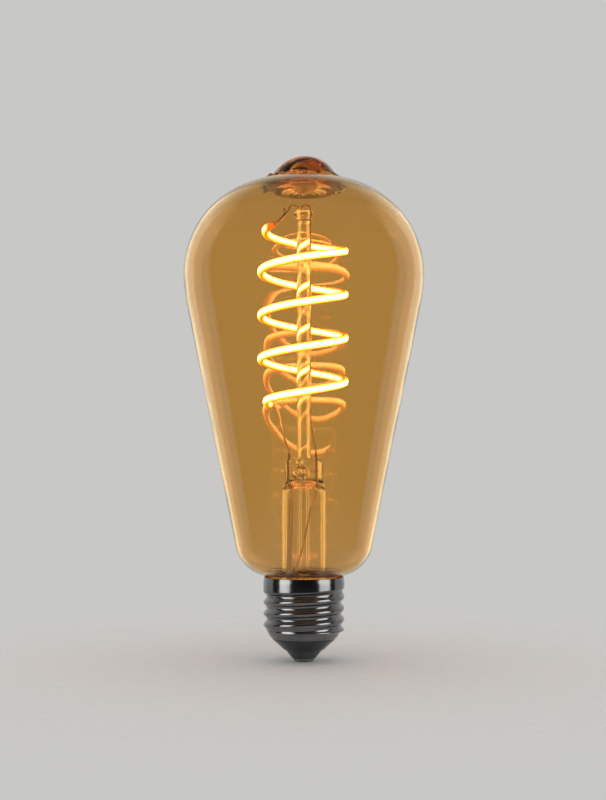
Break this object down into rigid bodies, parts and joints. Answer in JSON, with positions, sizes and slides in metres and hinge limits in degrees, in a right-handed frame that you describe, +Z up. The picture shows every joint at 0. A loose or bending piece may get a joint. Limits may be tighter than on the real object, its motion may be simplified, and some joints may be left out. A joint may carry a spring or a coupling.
{
  "type": "led filament bulb",
  "caption": "Long teardrop amber glass lamp with a coiled light filament on a glass stem, a glass pip on top and a metal screw cap.",
  "frame": {"origin": "middle of the flat end face of the contact rivet at the bottom of the screw cap", "axes": "+Z up the lamp axis from the end contact to the glass pip; -Y towards the viewer of the picture, +X to their right"},
  "size_m": [0.0774, 0.0774, 0.1626],
  "materials": {
    "amber_glass": "clear blown glass with a thin amber gold coat, glossy",
    "stem_glass": "clear glass, glossy",
    "seal_wire": "copper-clad wire, dull red where it is sealed in the glass",
    "lead_wire": "thin copper-coloured wire, satin",
    "outer_lead": "bare copper wire, satin",
    "sleeve": "cream insulating sleeve, matt",
    "filament_strip": "thin flexible amber film, satin",
    "silicone": "translucent yellow-orange silicone, lit from inside",
    "led_chip": "small lit crystals, satin",
    "terminal": "stamped tab, satin",
    "nickel_shell": "bright nickel plate, glossy",
    "cement": "baked cement, matt",
    "black_insulator": "black glass-like insulator, glossy",
    "contact_metal": "tinned contact plate and rivet, satin",
    "holder_plastic": "white moulded plastic, matt",
    "board_laminate": "green lacquered laminate",
    "chip_case": "black moulded case, matt",
    "chip_resistor": "dark glazed chip with tinned ends",
    "capacitor_sleeve": "dark blue shrink sleeve, glossy",
    "resistor_coat": "blue-grey enamel, satin",
    "tinned_wire": "tinned wire, bright",
    "solder": "bright solder"
  },
  "bodies": {
    "root": {"glass_envelope": "amber_glass", "stem_flare": "stem_glass", "exhaust_tube": "stem_glass", "support_rod": "stem_glass", "seal_wires": "seal_wire", "long_lead_wire": "lead_wire", "short_lead_wire": "lead_wire", "outer_lead_left": "outer_lead", "outer_lead_right": "outer_lead", "lead_sleeve": "sleeve", "filament_strip": "filament_strip", "filament_inner_coating": "silicone", "filament_outer_coating": "silicone", "led_chips": "led_chip", "filament_top_terminal": "terminal", "filament_bottom_terminal": "terminal", "screw_shell": "nickel_shell", "basing_cement": "cement", "cap_insulator": "black_insulator", "contact_plate": "contact_metal", "contact_rivet": "contact_metal", "driver_holder": "holder_plastic", "driver_board": "board_laminate", "bridge_rectifier": "chip_case", "driver_chip": "chip_case", "chip_resistors": "chip_resistor", "electrolytic_capacitor": "capacitor_sleeve", "fusible_resistor": "resistor_coat", "resistor_leads": "tinned_wire", "shell_wire": "tinned_wire", "solder_joints": "solder"}
  },
  "joints": []
}
